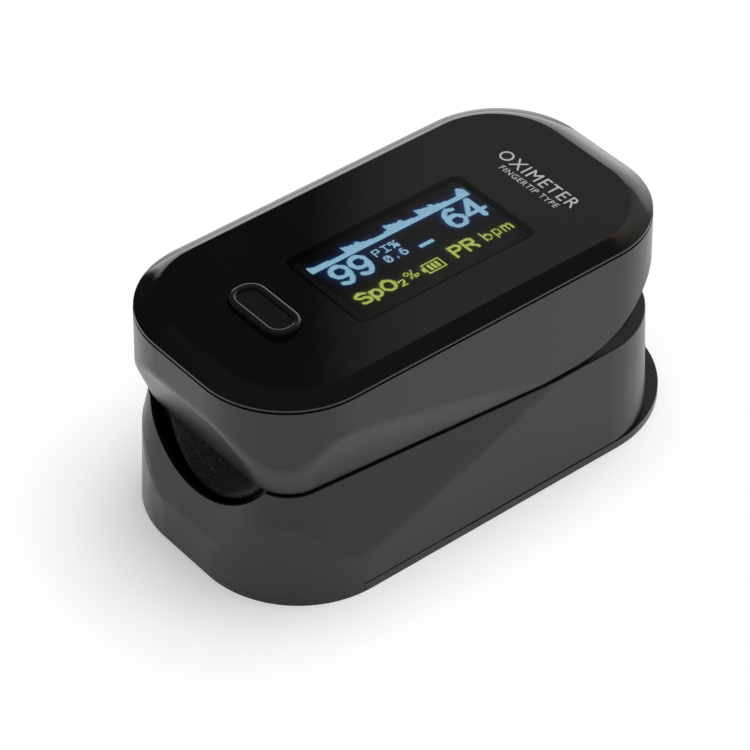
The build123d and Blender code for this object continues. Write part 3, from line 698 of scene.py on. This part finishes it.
def wire(name, points, radius, body):
    """A round spring wire through points in mm, with domed ends."""
    path = [Vector(p) * MM for p in points]
    sides = 10
    rings = []
    for i, here in enumerate(path):
        along = (path[min(i + 1, len(path) - 1)] - path[max(i - 1, 0)]).normalized()
        across = Vector((0, 1, 0))
        up = along.cross(across).normalized()
        if i == 0:
            rings.append((here - along * radius * 0.7, up, across, radius * 0.5))
        rings.append((here, up, across, radius))
        if i == len(path) - 1:
            rings.append((here + along * radius * 0.7, up, across, radius * 0.5))
    verts = []
    faces = []
    for r, (here, up, across, size) in enumerate(rings):
        for k in range(sides):
            turn = 2 * math.pi * k / sides
            verts.append(here + (up * math.cos(turn) + across * math.sin(turn)) * size)
        if r:
            a, b = sides * (r - 1), sides * r
            faces += [(a + k, b + k, b + (k + 1) % sides, a + (k + 1) % sides)
                      for k in range(sides)]
    last = len(verts) - sides
    faces += [tuple(range(sides)), tuple(last + k for k in reversed(range(sides)))]
    make_piece(name, verts, faces, STEEL, body, smooth=True)


SPRING_WIRE_R = 0.25 * MM
for side, hand in ((1, "left"), (-1, "right")):
    outer, inner = side * 8.5, side * 5.5
    low_arm = ((12.2, outer, 13.62), (14.6, outer, 13.35), (20.0, outer, 13.15))
    high_arm = ((13.6, inner, 15.0), (15.2, inner, 15.02), (18.6, inner, 16.85))
    wire(f"spring_arm_low_{hand}", low_arm, SPRING_WIRE_R, "base")
    wire(f"spring_arm_high_{hand}", high_arm, SPRING_WIRE_R, "upper")


INK_THICK = 0.008 * MM       # half of the print's thickness
INK_LIFT = 0.009 * MM        # its middle, above the cover


def print_text(name, text, height, start_y, base_x):
    """Flat ink on the cover, read from the left side of the case to the right."""
    curve = bpy.data.curves.new(name, "FONT")
    curve.body = text
    curve.size = height
    curve.extrude = INK_THICK
    curve.space_character = 1.12
    curve.resolution_u = 3
    source = bpy.data.objects.new(name + "_source", curve)
    bpy.context.scene.collection.objects.link(source)
    depsgraph = bpy.context.evaluated_depsgraph_get()
    mesh = bpy.data.meshes.new_from_object(source.evaluated_get(depsgraph))
    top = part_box("top_cover")[1].z
    corners = [(base_x + v.co.y, start_y - v.co.x, top + INK_LIFT + v.co.z)
               for v in mesh.vertices]
    faces = [tuple(face.vertices) for face in mesh.polygons]
    bpy.data.objects.remove(source)
    make_piece(name, corners, faces, INK, "upper")


print_text("print_large", "OXIMETER", 2.35 * MM, 5.3 * MM, 16.6 * MM)
print_text("print_small", "FINGERTIP TYPE", 1.15 * MM, 3.4 * MM, 15.3 * MM)


# ---- floor, light and camera --------------------------------------------------------------
STAGE_SIDES = 96
FLOOR_R = 3.0                # metres
WALL_R = 2.4
WALL_Z = (-0.02, 0.95)
DOME_R = 1.9
DOME_GRID = (240, 46)        # steps round and up
DOME_LOW = -2.0              # degrees below the horizon at which the dome starts
LAMPS = (("key", (0.24, -0.03, 1.10), 0.75, 7.8),        # name, place, side in metres, watts
         ("overhead", (-0.10, -0.20, 1.30), 1.2, 3.6))
LIGHT_TARGET = (0, 0, 0.01)
WORLD_LEVEL = 0.010
CAMERA_PLACE = (-179.7, -214.0, 249.3)   # mm
CAMERA_AZIMUTH = 50.70       # degrees from +X towards +Y
CAMERA_DOWN = 40.73          # degrees below level
CAMERA_LENS = 163.4          # mm on a 36 mm sensor


def stage_material(name, colour, glow):
    """Matt surface with a white glow of its own."""
    s = Shader(name, Roughness=0.9)
    s.main.inputs["Base Color"].default_value = (*colour, 1.0)
    s.main.inputs["Emission Color"].default_value = (1.0, 1.0, 1.0, 1.0)
    s.main.inputs["Emission Strength"].default_value = glow
    s.main.inputs["Specular IOR Level"].default_value = 0.0
    return s.material


def ring_points(radius, z):
    """Corners of a level ring round the middle of the stage."""
    turns = [2 * math.pi * i / STAGE_SIDES for i in range(STAGE_SIDES)]
    return [(radius * math.cos(t), radius * math.sin(t), z) for t in turns]


def stage_mesh(name, verts, faces, material):
    mesh = bpy.data.meshes.new(name)
    mesh.from_pydata(verts, [], faces)
    mesh.materials.append(material)
    thing = bpy.data.objects.new(name, mesh)
    bpy.context.scene.collection.objects.link(thing)
    return thing


def eased(share):
    """Smooth step from 0 to 1."""
    share = min(1.0, max(0.0, share))
    return share * share * (3 - 2 * share)


def dome_glow(azimuth, elevation):
    """Red, green and blue of the reflected studio in one direction, given in degrees."""
    # A bright band low beyond the far long side that fades round the hinge end.
    beyond = eased((azimuth + 25) / 50) * eased((76 - azimuth) / 5)
    band = beyond * (1.3 + 1.3 * (1 - elevation / 25)) * eased((27 - elevation) / 4)
    # A grey panel above it that stops short of the button end.
    panel = (0.34 + 0.25 * eased((38 - azimuth) / 20)) * eased((azimuth + 50) / 70)
    panel *= eased((53.5 - azimuth) / 4) * eased((60 - elevation) / 13)
    dark = 0.05 + 0.06 * eased((elevation - 45) / 10)
    level = max(band, panel, dark)
    warm = 0.12 * eased((elevation - 37) / 5)
    return (level * (1 + warm), level, level * (1 - warm))


def studio_dome(radius):
    """A half sphere that glows by direction; only reflections and clear parts show it."""
    around, tall = DOME_GRID
    verts = []
    levels = []
    for j in range(tall + 1):
        elevation = DOME_LOW + (90 - DOME_LOW) * j / tall
        for i in range(around):
            azimuth = -180 + 360 * i / around
            az, el = math.radians(azimuth), math.radians(elevation)
            flat = radius * math.cos(el)
            verts.append((flat * math.cos(az), flat * math.sin(az), radius * math.sin(el)))
            levels += [*dome_glow(azimuth, elevation), 1.0]
    faces = []
    for j in range(tall):
        low, high = j * around, (j + 1) * around
        faces += [(low + i, low + (i + 1) % around, high + (i + 1) % around, high + i)
                  for i in range(around)]
    s = Shader("studio_dome", Roughness=1.0)
    s.main.inputs["Base Color"].default_value = (0.0, 0.0, 0.0, 1.0)
    s.main.inputs["Specular IOR Level"].default_value = 0.0
    shade = s.add("ShaderNodeAttribute", attribute_name="glow")
    s.link(shade.outputs["Color"], s.main.inputs["Emission Color"])
    s.main.inputs["Emission Strength"].default_value = 1.0
    dome = stage_mesh("studio_dome", verts, faces, s.material)
    layer = dome.data.color_attributes.new("glow", "FLOAT_COLOR", "POINT")
    layer.data.foreach_set("color", levels)
    dome.visible_camera = False
    dome.visible_diffuse = False
    dome.visible_shadow = False


def make_stage():
    """Round floor, a bright wall beyond it, and the dome that the gloss surfaces reflect."""
    pale_floor = stage_material("pale_floor", (0.86, 0.86, 0.86), 0.27)
    stage_mesh("floor", ring_points(FLOOR_R, 0.0), [tuple(range(STAGE_SIDES))], pale_floor)
    wall_verts = ring_points(WALL_R, WALL_Z[0]) + ring_points(WALL_R, WALL_Z[1])
    quads = [(i, (i + 1) % STAGE_SIDES, STAGE_SIDES + (i + 1) % STAGE_SIDES, STAGE_SIDES + i)
             for i in range(STAGE_SIDES)]
    pale_wall = stage_material("pale_wall", (0.8, 0.8, 0.8), 1.0)
    wall = stage_mesh("backdrop", wall_verts, quads, pale_wall)
    wall.visible_glossy = False
    studio_dome(DOME_R)


def area_light(name, place, size, power):
    """A square lamp that lights the object and isn't seen in reflections."""
    data = bpy.data.lights.new(name, "AREA")
    data.shape = "SQUARE"
    data.size = size
    data.energy = power
    lamp = bpy.data.objects.new(name, data)
    lamp.location = place
    lamp.rotation_mode = "QUATERNION"
    lamp.rotation_quaternion = (Vector(LIGHT_TARGET) - Vector(place)).to_track_quat("-Z", "Y")
    lamp.visible_glossy = False
    bpy.context.scene.collection.objects.link(lamp)


def make_camera():
    data = bpy.data.cameras.new("camera")
    data.sensor_width = 36.0
    data.lens = CAMERA_LENS
    data.clip_start, data.clip_end = 0.01, 20.0
    camera = bpy.data.objects.new("camera", data)
    camera.location = Vector(CAMERA_PLACE) * MM
    azimuth, down = math.radians(CAMERA_AZIMUTH), math.radians(CAMERA_DOWN)
    flat = math.cos(down)
    ahead = Vector((flat * math.cos(azimuth), flat * math.sin(azimuth), -math.sin(down)))
    camera.rotation_mode = "QUATERNION"
    camera.rotation_quaternion = ahead.to_track_quat("-Z", "Y")
    bpy.context.scene.collection.objects.link(camera)
    bpy.context.scene.camera = camera


make_stage()
for lamp in LAMPS:
    area_light(*lamp)
world = bpy.data.worlds.new("studio")
bpy.context.scene.world = world
world.use_nodes = True
background = world.node_tree.nodes["Background"]
background.inputs["Color"].default_value = (WORLD_LEVEL, WORLD_LEVEL, WORLD_LEVEL, 1.0)
bpy.context.scene.view_settings.view_transform = "Standard"
make_camera()
